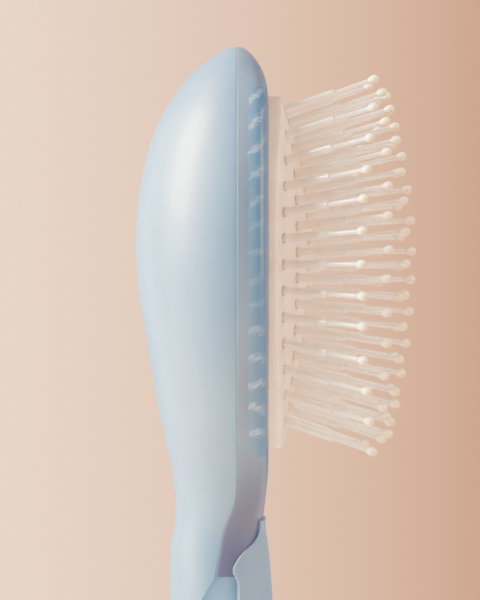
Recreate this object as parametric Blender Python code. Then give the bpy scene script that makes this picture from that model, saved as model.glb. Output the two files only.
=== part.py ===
"""A cushion hairbrush, standing on the butt of its handle.

Frame: the origin is the centre of the flat end of the handle, +Z runs up the brush to the tip
of the head, +X is the way the pins point, and the brush is symmetric about the plane Y = 0.
Dimensions are in millimetres in the constants and are turned to metres by MM.
"""

import math

import bmesh
import bpy
from mathutils import Matrix, Vector

MM = 0.001

# ---------------------------------------------------------------- driving dimensions, mm
BRUSH_LENGTH = 225.0
WALL = 1.8                # moulded shells
SEAM = 0.3                # clearance between pieces that meet
BACK_POWER = 2.1          # superellipse exponent of the back's cross-sections
SOFTEST = 4.0             # exponent of the rounder form that the walls' thickness is measured on

# Cross-sections from the butt up: height, back, widest line, front, half width, front exponent
SECTIONS = [
    (0.0, -7.2, -0.5, 7.0, 8.2, 2.4),
    (1.2, -8.2, -0.5, 8.0, 9.2, 2.4),
    (3.0, -8.8, -0.5, 8.6, 9.9, 2.4),
    (12.0, -10.0, -0.5, 9.8, 11.3, 2.4),
    (30.0, -11.2, -0.5, 11.0, 12.8, 2.4),
    (60.0, -11.8, -0.5, 11.6, 13.6, 2.4),
    (88.0, -11.3, -0.5, 11.3, 12.9, 2.4),
    (102.0, -11.1, -0.7, 10.9, 12.2, 2.4),
    (110.0, -11.1, -1.2, 10.2, 11.8, 2.4),
    (116.3, -11.0, -0.2, 9.4, 11.5, 2.6),
    (121.3, -10.1, 0.8, 8.8, 11.9, 3.0),
    (126.5, -9.9, 2.9, 9.3, 13.4, 4.0),
    (132.8, -10.7, 3.4, 9.9, 16.2, 5.5),
    (140.0, -12.1, 3.4, 10.0, 19.8, 7.0),
    (148.3, -13.9, 3.4, 10.0, 23.6, 8.0),
    (160.7, -16.1, 3.4, 10.0, 27.6, 8.0),
    (173.0, -18.0, 3.4, 10.0, 29.6, 8.0),
    (182.0, -18.5, 3.4, 10.0, 30.0, 8.0),
    (191.3, -18.0, 3.4, 10.0, 29.3, 8.0),
    (200.7, -16.3, 3.4, 10.0, 27.2, 8.0),
    (208.7, -13.5, 3.4, 10.0, 23.9, 7.0),
    (215.0, -9.7, 3.4, 9.75, 19.6, 6.0),
    (218.6, -6.7, 3.4, 8.95, 16.2, 5.0),
    (221.4, -3.7, 3.4, 7.6, 12.4, 4.0),
    (223.4, -0.9, 3.4, 6.1, 8.3, 3.0),
    (224.6, 1.4, 3.4, 4.7, 4.3, 2.4),
    (BRUSH_LENGTH, 3.4, 3.4, 3.4, 0.0, 2.0),
]

# Where the back shell ends on the side of the handle, and where the front panel ends: height, x.
BACK_EDGE = [(12.0, -0.5), (16.0, -5.0), (21.0, -7.4), (28.0, -8.0), (92.0, -8.0), (98.0, -7.4),
             (102.0, -6.3), (105.9, -4.1), (109.4, -2.1), (110.4, -1.0)]
PANEL_EDGE = [(12.0, -0.5), (14.0, 2.0), (16.0, 3.2), (18.5, 3.8), (109.6, 3.8), (110.6, 3.5),
              (111.4, 2.4), (112.5, 2.4), (115.3, 4.0), (119.0, 8.0), (121.4, 9.0), (122.6, 9.3)]
PANEL_TOP = 122.6         # tip of the raised front panel
PANEL_LIP = 0.9           # how far it stands above the neck
LIP_FOOT, LIP_RISE = 92.0, 24.0       # height at which the panel starts to rise, and over how much
LIP_HEIGHTS = (114.4, 117.6, 120.4)   # more rows where the tongue narrows
TONGUE_GAP = 0.4          # above the tongue, in the front frame
FRAME_FOOT = 110.9        # lower end of the front frame's two legs
SHELL_FOOT = 3.0          # lower edge of the shells, above the end cap
GRIP_TOP, GRIP_FOOT = 110.1, 13.0
GRIP_RECESS, GRIP_SEAM, GRIP_WALL = 1.5, 0.45, 1.4
GRIP_COLUMNS, BACK_COLUMNS, FRAME_COLUMNS, PANEL_COLUMNS = 6, 16, 20, 10
CAP_BEVEL, CAP_SPIGOT_TOP = 1.2, 9.0
CORE_INSET = 3.4
CORE_HEIGHTS = (10.0, 30.0, 60.0, 88.0, 104.0, 116.0, 126.0)

# Cushion: an oval pad, seen from the front
PAD_CENTRE, PAD_HALF_LENGTH, PAD_HALF_WIDTH, PAD_POWER = 176.0, 38.0, 21.8, 3.4
RIM_X, DOME_HEIGHT = 11.8, 8.1
DOME_PEAK, DOME_UP, DOME_DOWN = 180.0, 34.0, 42.0
DOME_SHARPNESS, DOME_END_DROP = 0.45, 0.83
RUBBER = 1.3
DOME_RINGS = (0.25, 0.5, 0.72, 0.9)   # shares of the outline
SHOULDER_DROP, INNER_DROP, INNER_SHARE = 0.6, 2.0, 0.95
FLANGE_X, FLANGE_THICK, FLANGE_REACH = 5.7, 1.2, 1.5
RING_X, RING_THICK, RING_REACH = 4.2, 1.2, 1.5
PLATE_X, PLATE_THICK, PLATE_REACH = 2.3, 1.6, 1.2

# Pins: seven bowed columns, each cut into three strips, with every other column half a pitch off
PIN_PITCH, COLUMN_SPACING, PIN_CENTRE = 5.53, 6.2, 177.5
BOW_LENGTH, BOW_POWER = 37.2, 2.6     # the columns close in towards the ends of the pad
COLUMNS = [  # pins in each strip from the foot up, lean outwards in degrees, length
    ((4, 4, 4), 0.0, 22.6),
    ((4, 3, 4), 16.0, 22.6),
    ((4, 4, 4), 28.0, 22.4),
    ((4, 5, 4), 38.0, 21.4),
]
STRIP_NAMES = ("low", "mid", "top")
FAN_PER_MM = 0.57         # degrees of tilt along the brush for each mm from the middle row
PIN_RADIUS, PIN_TOP_RADIUS, BALL_RADIUS, BALL_LENGTH = 0.95, 0.5, 0.93, 2.3
STEP_SHARE = 0.53         # of the length, where the pin steps down
PIN_DEPTH = 2.6           # below the rubber's surface
FOOT_DEPTH, FOOT_THICK, FOOT_WIDTH, FOOT_OVERHANG = 2.5, 1.0, 2.1, 1.0
HOLE_CLEARANCE, HOLE_BELOW, HOLE_ABOVE = 0.3, 4.2, 2.6
PIN_SIDES = 6

# Cutters run well past what they cut
OPENING_BACK, CUTTER_FRONT, CUTTER_HALF_DEPTH = -2.0, 20.0, 30.0
SHARP_ANGLE = math.radians(40)


# ---------------------------------------------------------------- scene helpers
def clear_scene():
    for obj in list(bpy.data.objects):
        bpy.data.objects.remove(obj, do_unlink=True)


def new_collection(name, hidden=False):
    made = bpy.data.collections.new(name)
    made.hide_render = hidden
    bpy.context.scene.collection.children.link(made)
    return made


def plastic(name, color, roughness, alpha=1.0):
    material = bpy.data.materials.new(name)
    material.use_nodes = True
    shader = material.node_tree.nodes["Principled BSDF"]
    shader.inputs["Base Color"].default_value = (*color, 1.0)
    shader.inputs["Roughness"].default_value = roughness
    shader.inputs["Metallic"].default_value = 0.0
    shader.inputs["Alpha"].default_value = alpha
    return material


def object_from(bm, name, material, collection):
    mesh = bpy.data.meshes.new(name)
    bm.to_mesh(mesh)
    bm.free()
    obj = bpy.data.objects.new(name, mesh)
    if material:
        mesh.materials.append(material)
    collection.objects.link(obj)
    mesh.shade_smooth()
    mesh.set_sharp_from_angle(angle=SHARP_ANGLE)
    return obj


def cutter_from(bm, name, collection):
    return as_cutter(object_from(bm, name, None, collection))


def as_cutter(obj):
    obj.display_type = "WIRE"
    obj.hide_render = True
    return obj


def pivot_at(name, place, collection, parent=None):
    """An empty for a moving body, at a place in mm."""
    empty = bpy.data.objects.new(name, None)
    empty.empty_display_size = 0.01
    empty.location = place * MM
    empty.parent = parent
    collection.objects.link(empty)
    return empty


def hang(obj, pivot, place=None):
    """Parents a finished piece to an empty, with its own origin at a place on its joint's axis."""
    origin = pivot.location if place is None else place * MM
    obj.data.transform(Matrix.Translation(-origin))
    obj.parent = pivot
    obj.location = origin - pivot.location


def boolean(obj, cutter, operation="DIFFERENCE"):
    modifier = obj.modifiers.new(operation.lower(), "BOOLEAN")
    modifier.operation = operation
    modifier.object = cutter
    modifier.solver = "EXACT"


# ---------------------------------------------------------------- the outer form
def ramp(table, z):
    """Straight-line reading of a list of (height, value) pairs."""
    if z <= table[0][0]:
        return table[0][1]
    for (z0, v0), (z1, v1) in zip(table, table[1:]):
        if z <= z1:
            return v0 + (v1 - v0) * (z - z0) / (z1 - z0)
    return table[-1][1]


def section(s):
    """The cross-section at place s of SECTIONS, smooth between its rows."""
    i = min(int(s), len(SECTIONS) - 2)
    t = s - i
    rows = [SECTIONS[min(max(i + k, 0), len(SECTIONS) - 1)] for k in (-1, 0, 1, 2)]
    return [
        0.5 * (2 * b + (c - a) * t + (2 * a - 5 * b + 4 * c - d) * t**2
               + (3 * b - a - 3 * c + d) * t**3)
        for a, b, c, d in zip(*rows)
    ]


def place_at(z):
    """The place in SECTIONS whose height is z."""
    low, high = 0.0, len(SECTIONS) - 1.0
    for _ in range(40):
        middle = (low + high) / 2
        if section(middle)[0] < z:
            low = middle
        else:
            high = middle
    return low


def skin_point(s, turn, proud=0.0, softest=math.inf):
    """A point of the outer form, in mm. The turn is 0 at the front and 90 degrees on the +Y side."""
    z, back, middle, front, half_width, front_power = section(s)
    across, along = abs(math.sin(turn)), math.cos(turn)
    reach, power = (front - middle, front_power) if along > 0 else (middle - back, BACK_POWER)
    power = min(power, softest)
    return Vector((
        middle + math.copysign(abs(along) ** (2 / power), along) * (reach + proud),
        math.copysign(across ** (2 / power), math.sin(turn)) * (half_width + proud),
        z,
    ))


def skin_normal(s, turn):
    """Which way the form faces, with its corners taken rounder so that a wall can follow it."""
    step = 1e-3
    last = len(SECTIONS) - 1.0
    if s > last - 0.02:
        return Vector((0.0, 0.0, 1.0))
    above, below = min(s + step, last), max(s - step, 0.0)
    up = skin_point(above, turn, softest=SOFTEST) - skin_point(below, turn, softest=SOFTEST)
    round_ = skin_point(s, turn + step, softest=SOFTEST) - skin_point(s, turn - step, softest=SOFTEST)
    return round_.cross(up).normalized()


def turn_at(s, x, proud=0.0):
    """The turn, on the +Y side, at which the section at s crosses this x."""
    _, back, middle, front, _, front_power = section(s)
    reach, power = (front - middle, front_power) if x > middle else (middle - back, BACK_POWER)
    reach += proud
    if reach <= 1e-6:
        return math.pi / 2
    share = min(abs(x - middle) / reach, 1.0)
    turn = math.acos(share ** (power / 2))
    return turn if x > middle else math.pi - turn


def places(low, high, *edges):
    """Places of SECTIONS between two heights: its rows, and the corners of any edge lines."""
    heights = {row[0] for row in SECTIONS} | {z for edge in edges for z, _ in edge}
    inside = sorted(z for z in heights if low + 0.3 < z < min(high, BRUSH_LENGTH) - 0.3)
    last = place_at(high) if high < BRUSH_LENGTH else len(SECTIONS) - 1.0
    return [place_at(low), *map(place_at, inside), last]


# ---------------------------------------------------------------- lofts
def thick_skin(name, outer, inner, material, collection):
    """A closed wall between two grids of points with the same rows, a loft between unlike sections.

    The inner grid is given, because at a seam the wall has to stay on its own side.
    """
    bm = bmesh.new()
    layers = []
    for grid in (outer, inner):
        rows = []
        for row in grid:
            same = all((p - row[0]).length < 1e-6 for p in row)
            verts = [bm.verts.new(row[0] * MM)] * len(row) if same else [
                bm.verts.new(p * MM) for p in row
            ]
            rows.append(verts)
        layers.append(rows)

    def face(*corners):
        ring = []
        for corner in corners:
            if corner not in ring:
                ring.append(corner)
        if len(ring) > 2:
            bm.faces.new(ring)

    top, bottom = layers
    spans = len(outer[0]) - 1
    for r in range(len(outer) - 1):
        for c in range(spans):
            face(top[r][c], top[r][c + 1], top[r + 1][c + 1], top[r + 1][c])
            face(bottom[r][c], bottom[r + 1][c], bottom[r + 1][c + 1], bottom[r][c + 1])
        face(top[r][0], top[r + 1][0], bottom[r + 1][0], bottom[r][0])
        face(top[r][-1], bottom[r][-1], bottom[r + 1][-1], top[r + 1][-1])
    for r, turned in ((0, True), (len(outer) - 1, False)):
        if len(set(top[r])) == 1:
            continue
        for c in range(spans):
            ring = (top[r][c], top[r][c + 1], bottom[r][c + 1], bottom[r][c])
            face(*(reversed(ring) if turned else ring))
    bmesh.ops.recalc_face_normals(bm, faces=bm.faces)
    return object_from(bm, name, material, collection)


def loft(name, rows, material, collection):
    """A solid through closed rows of points, capped at both ends. A row of one point is a tip."""
    bm = bmesh.new()
    loops = []
    for row in rows:
        loops.append([bm.verts.new(p * MM) for p in row])
    for below, above in zip(loops, loops[1:]):
        longest = max(len(below), len(above))
        for c in range(longest):
            d = (c + 1) % longest
            corners = [below[c % len(below)], below[d % len(below)],
                       above[d % len(above)], above[c % len(above)]]
            ring = [v for k, v in enumerate(corners) if v not in corners[:k]]
            if len(ring) > 2:
                bm.faces.new(ring)
    for loop in (loops[0], loops[-1]):
        if len(loop) > 2:
            bm.faces.new(loop)
    bmesh.ops.recalc_face_normals(bm, faces=bm.faces)
    return object_from(bm, name, material, collection)


def shell(name, stations, edge_x, columns, material, collection,
          proud=lambda z: 0.0, front=True):
    """A moulded wall on the outer form, over the front or round the back, as far as edge_x."""
    outer, inner = [], []
    for s in stations:
        z = section(s)[0]
        raised = proud(z)
        start = turn_at(s, edge_x(z), raised)
        start, end = (-start, start) if front else (start, 2 * math.pi - start)
        turns = [start + (end - start) * k / columns for k in range(columns + 1)]
        row = [skin_point(s, t, raised) for t in turns]
        under = [p - skin_normal(s, t) * WALL for p, t in zip(row, turns)]
        for p in under:
            p.x = max(p.x, edge_x(z)) if front else min(p.x, edge_x(z))
        row[0].x = row[-1].x = under[0].x = under[-1].x = edge_x(z)
        if (row[0] - row[-1]).length < 1e-3:
            row, under = [row[0]] * len(row), [under[0]] * len(under)
        outer.append(row)
        inner.append(under)
    return thick_skin(name, outer, inner, material, collection)


# ---------------------------------------------------------------- the pad's outline and dome
def pad_outline(reach, count=32):
    """The pad's outline as (y, z) pairs, grown by reach."""
    points = []
    for k in range(count):
        a = 2 * math.pi * k / count
        c, s = math.cos(a), math.sin(a)
        scale = (abs(c) ** PAD_POWER + abs(s) ** PAD_POWER) ** (-1 / PAD_POWER)
        points.append((c * scale * (PAD_HALF_WIDTH + reach),
                       PAD_CENTRE + s * scale * (PAD_HALF_LENGTH + reach)))
    return points


def dome_x(y, z):
    """Height of the rubber's outer face above the plane of the head."""
    k = DOME_SHARPNESS
    across = (math.sqrt(1 + (y / PAD_HALF_WIDTH / k) ** 2) - 1) / (math.sqrt(1 + k**-2) - 1)
    reach = DOME_UP if z > DOME_PEAK else DOME_DOWN
    along = DOME_END_DROP * ((z - DOME_PEAK) / reach) ** 2
    return RIM_X + DOME_HEIGHT * (1 - min(across, 1.0)) * (1 - min(along, 1.0))


def pad_loop(share, x=None, drop=0.0, reach=0.0):
    """A closed loop of points on the pad: share of the outline, at a fixed x or on the dome."""
    loop = []
    for y, z in pad_outline(reach):
        y, z = y * share, PAD_CENTRE + (z - PAD_CENTRE) * share
        loop.append(Vector((dome_x(y, z) - drop if x is None else x, y, z)))
    return loop


def pad_plate(name, x, thickness, reach, hole, material, collection):
    """A flat plate on the pad's outline, or a ring if it has a hole."""
    levels = (x, x + thickness)
    if hole is None:
        return loft(name, [pad_loop(1.0, level, reach=reach) for level in levels],
                    material, collection)
    rows = [pad_loop(1.0, levels[0], reach=reach), pad_loop(1.0, levels[1], reach=reach),
            pad_loop(1.0, levels[1], reach=hole), pad_loop(1.0, levels[0], reach=hole)]
    bm = bmesh.new()
    loops = [[bm.verts.new(p * MM) for p in row] for row in rows]
    for one, two in zip(loops, loops[1:] + loops[:1]):
        for c in range(len(one)):
            d = (c + 1) % len(one)
            bm.faces.new((one[c], one[d], two[d], two[c]))
    bmesh.ops.recalc_face_normals(bm, faces=bm.faces)
    return object_from(bm, name, material, collection)


# ---------------------------------------------------------------- casing pieces
def crease_x(z):
    return section(place_at(z))[2]


def back_edge(z):
    if z >= BACK_EDGE[-1][0]:
        return crease_x(z) - SEAM / 2
    return ramp(BACK_EDGE, z) - SEAM / 2


def frame_edge(z):
    return crease_x(z) + SEAM / 2


def panel_edge(z):
    return ramp(PANEL_EDGE, z) + SEAM / 2


def prism(name, outline, half_depth, collection):
    """A cutter: an outline in X and Z, in mm, run across Y."""
    bm = bmesh.new()
    face = bm.faces.new([bm.verts.new(Vector((x, -half_depth, z)) * MM) for x, z in outline])
    made = bmesh.ops.extrude_face_region(bm, geom=[face])["geom"]
    moved = [v for v in made if isinstance(v, bmesh.types.BMVert)]
    bmesh.ops.translate(bm, verts=moved, vec=(0, 2 * half_depth * MM, 0))
    bmesh.ops.recalc_face_normals(bm, faces=bm.faces)
    return cutter_from(bm, name, collection)


def make_back_shell(parts, material):
    stations = places(SHELL_FOOT, BRUSH_LENGTH, BACK_EDGE)
    shell("back_shell", stations, back_edge, BACK_COLUMNS, material, parts, front=False)


def make_front_frame(parts, cutters, material):
    stations = places(FRAME_FOOT, BRUSH_LENGTH)
    frame = shell("front_frame", stations, frame_edge, FRAME_COLUMNS, material, parts)

    rows = [pad_loop(1.0, x, reach=SEAM) for x in (OPENING_BACK, CUTTER_FRONT)]
    boolean(frame, as_cutter(loft("pad_opening", rows, None, cutters)))

    edge = [(x - SEAM / 2, z) for z, x in PANEL_EDGE if z > FRAME_FOOT]
    below = FRAME_FOOT - 2
    first = (ramp(PANEL_EDGE, FRAME_FOOT) - SEAM / 2, below)
    last = (CUTTER_FRONT, PANEL_TOP + TONGUE_GAP)
    outline = [first, *edge, last, (CUTTER_FRONT, below)]
    boolean(frame, prism("panel_opening", outline, CUTTER_HALF_DEPTH, cutters))


def make_front_panel(parts, material):
    def lip(z):
        return PANEL_LIP * min(1.0, max(0.0, (z - LIP_FOOT) / LIP_RISE))

    stations = places(SHELL_FOOT, PANEL_TOP, PANEL_EDGE, [(z, 0) for z in LIP_HEIGHTS])
    shell("handle_front_panel", stations, panel_edge, PANEL_COLUMNS, material, parts, lip)


def make_side_grip(name, side, parts, material):
    """One recessed insert on the side of the handle, between the back shell and the front panel."""
    outer, inner = [], []
    for s in places(GRIP_FOOT, GRIP_TOP, BACK_EDGE, PANEL_EDGE):
        z = section(s)[0]
        start = turn_at(s, panel_edge(z) - GRIP_SEAM)
        end = turn_at(s, back_edge(z) + GRIP_SEAM)
        start = min(start, end - 0.02)
        turns = [start + (end - start) * k / GRIP_COLUMNS for k in range(GRIP_COLUMNS + 1)]
        row = [skin_point(s, t, -GRIP_RECESS) for t in turns]
        under = [p - skin_normal(s, t) * GRIP_WALL for p, t in zip(row, turns)]
        for k in (0, -1):
            under[k].x = row[k].x
        outer.append([Vector((p.x, p.y * side, p.z)) for p in row])
        inner.append([Vector((p.x, p.y * side, p.z)) for p in under])
    thick_skin(name, outer, inner, material, parts)


def inset_row(z, inset, count=20):
    s = place_at(z)
    return [skin_point(s, 2 * math.pi * (k + 0.5) / count, -inset) for k in range(count)]


def make_handle_core(parts, material):
    loft("handle_core", [inset_row(z, CORE_INSET, 16) for z in CORE_HEIGHTS], material, parts)


def make_end_cap(parts, material):
    shoulder = SHELL_FOOT - SEAM
    rows = [inset_row(z, 0.0) for z in (0.0, CAP_BEVEL, shoulder)]
    rows += [inset_row(z, WALL + SEAM) for z in (shoulder, CAP_SPIGOT_TOP)]
    loft("handle_end_cap", rows, material, parts)


# ---------------------------------------------------------------- cushion pieces
def make_membrane(parts, material):
    """The rubber cushion: dome, side wall and flange, with a hole for each pin."""
    flange_top = FLANGE_X + FLANGE_THICK
    outer = [pad_loop(0.0)[:1]]
    outer += [pad_loop(share) for share in DOME_RINGS]
    outer += [pad_loop(1.0, drop=SHOULDER_DROP), pad_loop(1.0, flange_top),
              pad_loop(1.0, flange_top, reach=FLANGE_REACH),
              pad_loop(1.0, FLANGE_X, reach=FLANGE_REACH)]
    inner = [pad_loop(1.0, FLANGE_X, reach=-RUBBER),
             pad_loop(1.0, drop=INNER_DROP, reach=-RUBBER)]
    inner += [pad_loop(share * INNER_SHARE, drop=RUBBER) for share in reversed(DOME_RINGS)]
    inner += [pad_loop(0.0, drop=RUBBER)[:1]]
    return loft("cushion_membrane", outer + inner, material, parts)


def make_cushion_fittings(parts, material):
    pad_plate("cushion_retaining_ring", RING_X, RING_THICK, RING_REACH, 0.2, material, parts)
    pad_plate("backing_plate", PLATE_X, PLATE_THICK, PLATE_REACH, None, material, parts)


# ---------------------------------------------------------------- pins
def pin_frame(column, side, z):
    """The root of a pin on the rubber and the way it points."""
    bow = (1 - (abs(z - PAD_CENTRE) / BOW_LENGTH) ** BOW_POWER) ** (1 / BOW_POWER)
    lean = math.radians(COLUMNS[column][1]) * bow**2
    tilt = math.radians(FAN_PER_MM * (z - PIN_CENTRE))
    y = side * column * COLUMN_SPACING * bow
    way = Vector((math.cos(lean) * math.cos(tilt), side * math.sin(lean) * math.cos(tilt),
                  math.sin(tilt)))
    return Vector((dome_x(y, z), y, z)), way


def pin_profile(length):
    """Distance along the pin and radius, from below the rubber to the tip of the ball."""
    step = STEP_SHARE * length
    ball = length - BALL_LENGTH
    return [
        (-PIN_DEPTH, 0.0), (-PIN_DEPTH, PIN_RADIUS), (step, PIN_RADIUS), (step, PIN_TOP_RADIUS),
        (ball, PIN_TOP_RADIUS), (ball + 0.45 * BALL_LENGTH, BALL_RADIUS),
        (ball + 0.8 * BALL_LENGTH, 0.8 * BALL_RADIUS), (length, 0.0),
    ]


def add_turned(bm, profile, root, way):
    """Spins a profile of (distance, radius) pairs about a line from root along way."""
    turn = way.to_track_quat("Z", "Y").to_matrix().to_4x4()
    place = Matrix.Translation(root * MM) @ turn
    verts = [bm.verts.new(Vector((r, 0.0, d)) * MM) for d, r in profile]
    edges = [bm.edges.new(pair) for pair in zip(verts, verts[1:])]
    bmesh.ops.spin(bm, geom=verts + edges, cent=(0, 0, 0), axis=(0, 0, 1),
                   angle=2 * math.pi, steps=PIN_SIDES, use_merge=True)
    fresh = [v for v in bm.verts if not v.tag]
    bmesh.ops.remove_doubles(bm, verts=fresh, dist=1e-6)
    fresh = [v for v in bm.verts if not v.tag]
    bmesh.ops.transform(bm, matrix=place, verts=fresh)
    for v in fresh:
        v.tag = True


def strip_heights(column, strip):
    """Heights of the pins in one strip, from the foot up."""
    counts = COLUMNS[column][0]
    first = sum(counts[:strip])
    offset = (sum(counts) - 1) / 2
    return [PIN_CENTRE + (first + k - offset) * PIN_PITCH for k in range(counts[strip])]


def make_pin_strip(name, column, side, strip, parts, cutters, material, cushion):
    """The pins of one strip, joined by the foot under the rubber that they share.

    The strip's origin is on its hinge line, the chord between its first and last roots.
    """
    length = COLUMNS[column][2]
    frames = [pin_frame(column, side, z) for z in strip_heights(column, strip)]
    bm = bmesh.new()
    for root, way in frames:
        add_turned(bm, pin_profile(length), root, way)
    bmesh.ops.recalc_face_normals(bm, faces=bm.faces)
    pins = object_from(bm, name, material, parts)

    low, high = frames[0][0], frames[-1][0]
    along = (high - low).normalized()
    seats = [root - way * FOOT_DEPTH for root, way in frames]
    ways = [way for _, way in frames]
    seats = [seats[0] - along * FOOT_OVERHANG, *seats[1:-1], seats[-1] + along * FOOT_OVERHANG]
    rows = []
    for seat, way in zip(seats, ways):
        out = (way - along * way.dot(along)).normalized() * FOOT_THICK / 2
        across = out.cross(along).normalized() * FOOT_WIDTH / 2
        rows.append([seat + out + across, seat + out - across, seat - out - across,
                     seat - out + across])
    foot = as_cutter(loft(name + "_foot", rows, None, cutters))
    boolean(pins, foot, "UNION")
    hang(pins, cushion, (low + high) / 2)
    return frames


def make_pins(parts, cutters, material, membrane, cushion):
    holes = bmesh.new()
    reach = PIN_RADIUS + HOLE_CLEARANCE
    hole = [(-HOLE_BELOW, 0.0), (-HOLE_BELOW, reach), (HOLE_ABOVE, reach), (HOLE_ABOVE, 0.0)]
    for column in range(len(COLUMNS)):
        sides = ((1, f"left_{column}"), (-1, f"right_{column}")) if column else ((0, "centre"),)
        for side, label in sides:
            for strip, strip_name in enumerate(STRIP_NAMES):
                name = f"pin_strip_{label}_{strip_name}"
                frames = make_pin_strip(name, column, side, strip, parts, cutters, material,
                                        cushion)
                for root, way in frames:
                    add_turned(holes, hole, root, way)
    bmesh.ops.recalc_face_normals(holes, faces=holes.faces)
    boolean(membrane, cutter_from(holes, "pin_holes", cutters))


def main():
    clear_scene()
    parts = new_collection("cushion_hairbrush")
    cutters = new_collection("cutters", hidden=True)
    blue = plastic("pale_blue_plastic", (0.43, 0.60, 0.69), 0.22)
    grip = plastic("side_grip_plastic", (0.34, 0.54, 0.63), 0.35)
    fittings = plastic("inner_plastic", (0.55, 0.62, 0.66), 0.5)
    rubber = plastic("cushion_rubber", (0.80, 0.66, 0.55), 0.4, alpha=0.9)
    nylon = plastic("pin_nylon", (0.86, 0.76, 0.66), 0.25)

    make_back_shell(parts, blue)
    make_front_frame(parts, cutters, blue)
    make_front_panel(parts, blue)
    make_side_grip("side_grip_left", 1, parts, grip)
    make_side_grip("side_grip_right", -1, parts, grip)
    make_handle_core(parts, fittings)
    make_end_cap(parts, blue)
    make_cushion_fittings(parts, fittings)

    casing = pivot_at("casing", Vector((0.0, 0.0, 0.0)), parts)
    for piece in [obj for obj in parts.objects if obj.type == "MESH"]:
        hang(piece, casing)
    cushion = pivot_at("cushion", Vector((RIM_X, 0.0, PAD_CENTRE)), parts, casing)
    membrane = make_membrane(parts, rubber)
    hang(membrane, cushion)
    make_pins(parts, cutters, nylon, membrane, cushion)


main()
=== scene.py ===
# %% [markdown]
# # A cushion hairbrush
#
# The frame that this notebook loads already says where every part of the brush is and how it
# moves. The cells below give each part its fine surface and its finish, and then set the camera
# and the light. Sizes are in millimetres. Z runs up the brush, the pins point along +X, and the
# two sides of the plane Y = 0 mirror each other.

# %% Load the frame
import math
import random

import bmesh
import bpy
from mathutils import Matrix, Vector


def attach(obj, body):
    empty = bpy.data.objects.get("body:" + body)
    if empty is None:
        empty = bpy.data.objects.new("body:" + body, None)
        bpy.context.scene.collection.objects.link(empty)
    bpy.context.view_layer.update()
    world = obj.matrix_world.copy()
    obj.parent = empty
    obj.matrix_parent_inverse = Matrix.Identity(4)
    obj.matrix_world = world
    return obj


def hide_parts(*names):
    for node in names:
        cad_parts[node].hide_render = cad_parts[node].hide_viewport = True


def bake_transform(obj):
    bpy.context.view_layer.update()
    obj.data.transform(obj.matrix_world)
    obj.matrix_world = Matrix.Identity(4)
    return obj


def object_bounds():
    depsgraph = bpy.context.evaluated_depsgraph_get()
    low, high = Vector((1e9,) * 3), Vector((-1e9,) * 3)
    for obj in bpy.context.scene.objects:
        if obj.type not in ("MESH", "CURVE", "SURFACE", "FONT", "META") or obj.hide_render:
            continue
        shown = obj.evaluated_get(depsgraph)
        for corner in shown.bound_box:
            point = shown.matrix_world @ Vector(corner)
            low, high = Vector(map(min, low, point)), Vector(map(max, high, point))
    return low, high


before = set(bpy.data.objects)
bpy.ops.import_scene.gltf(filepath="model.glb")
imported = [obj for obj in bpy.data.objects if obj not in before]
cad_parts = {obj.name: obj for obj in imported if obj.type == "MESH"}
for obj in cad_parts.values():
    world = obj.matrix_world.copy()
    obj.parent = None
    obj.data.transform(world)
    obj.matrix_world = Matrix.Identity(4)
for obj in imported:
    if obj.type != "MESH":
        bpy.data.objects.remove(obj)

MM = 0.001
CAD_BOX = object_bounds()
print("brush, mm:", [round((high - low) / MM, 1) for low, high in zip(*CAD_BOX)])

# %% [markdown]
# ## Camera
#
# A long lens from straight on the side keeps the outline true, as a draughtsman's side view does.
# The upper part of the brush fills the picture and the handle runs out of it below. A camera can be
# placed by hand, but here it follows from how much of the brush has to fit.

# %% Camera
VIEW_HEIGHT = 130.4       # how much of the brush the picture shows, from its top edge down
VIEW_BELOW_TIP = 55.0     # the middle of the picture, below the tip of the head
VIEW_OFFSET = 4.1         # and in front of the handle's axis
VIEW_DISTANCE = 650.0
SENSOR = 36.0             # along the picture's long side


def add_camera():
    camera = bpy.data.objects.new("camera", bpy.data.cameras.new("camera"))
    camera.data.sensor_width = SENSOR
    camera.data.lens = SENSOR * VIEW_DISTANCE / VIEW_HEIGHT
    middle = CAD_BOX[1].z / MM - VIEW_BELOW_TIP
    camera.location = Vector((VIEW_OFFSET, -VIEW_DISTANCE, middle)) * MM
    camera.rotation_euler = (math.pi / 2, 0, 0)
    bpy.context.scene.collection.objects.link(camera)
    bpy.context.scene.camera = camera
    print("camera: lens", round(camera.data.lens), "mm, at", [round(c, 3) for c in camera.location])


add_camera()

# %% [markdown]
# ## The outer form
#
# The casing is an egg-shaped head that runs into an oval handle. A car body designer would draw it
# as cross-sections up a centreline, and that is what the table holds: at each height, how far back
# and front the section reaches, where it is widest and how wide. A curve through neighbouring rows
# fills in the rest. Each section is a superellipse, whose exponent squares its corners: about 2 for
# the round back and 8 for the flat front of the head.

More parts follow.
